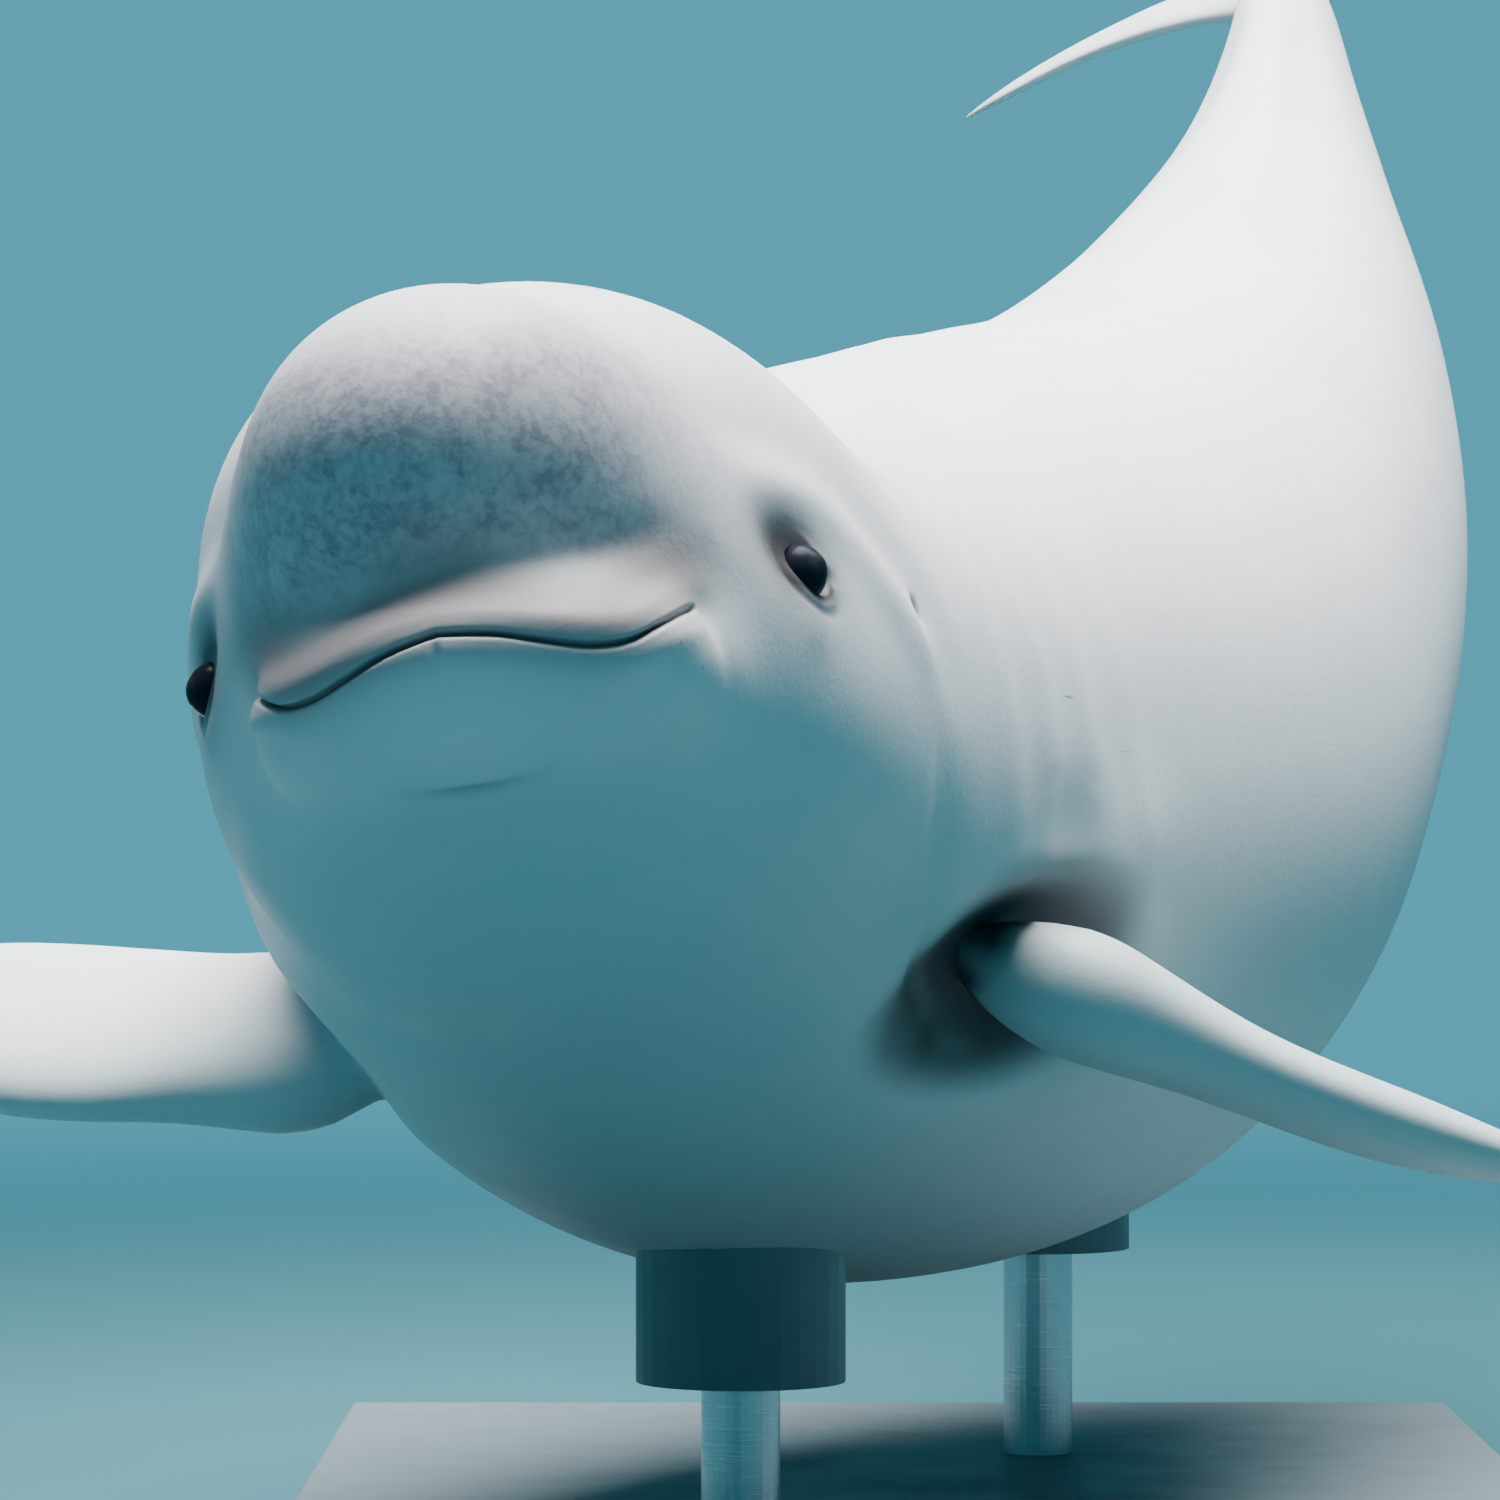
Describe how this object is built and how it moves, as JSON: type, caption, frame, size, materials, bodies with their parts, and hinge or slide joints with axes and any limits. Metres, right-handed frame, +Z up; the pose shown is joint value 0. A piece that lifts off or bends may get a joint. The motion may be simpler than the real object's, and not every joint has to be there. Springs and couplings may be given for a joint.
{
  "type": "beluga whale display model",
  "caption": "Life-size white whale with a domed melon, short beak, paddle flippers and flukes, held hovering on a plain stand.",
  "frame": {"origin": "centre of the stand's underside", "axes": "+Z up, -Y the way the whale faces, +X towards the whale's left"},
  "size_m": [1.7541, 3.4548, 1.6281],
  "materials": {
    "skin": "smooth satin white skin with faint grey mottling",
    "eye": "wet dark eye",
    "stand_plate": "satin dark blue-grey paint",
    "stand_steel": "brushed"
  },
  "bodies": {
    "root": {"head": "skin", "jaw": "skin", "neck": "skin", "chest": "skin", "belly": "skin", "flank": "skin", "tail_stock": "skin", "fluke_left": "skin", "fluke_right": "skin", "flipper_left": "skin", "flipper_right": "skin", "eye_left": "eye", "eye_right": "eye", "stand_base": "stand_plate", "stand_pad_front": "stand_plate", "stand_pad_rear": "stand_plate", "stand_rod_front": "stand_steel", "stand_rod_rear": "stand_steel"}
  },
  "joints": []
}
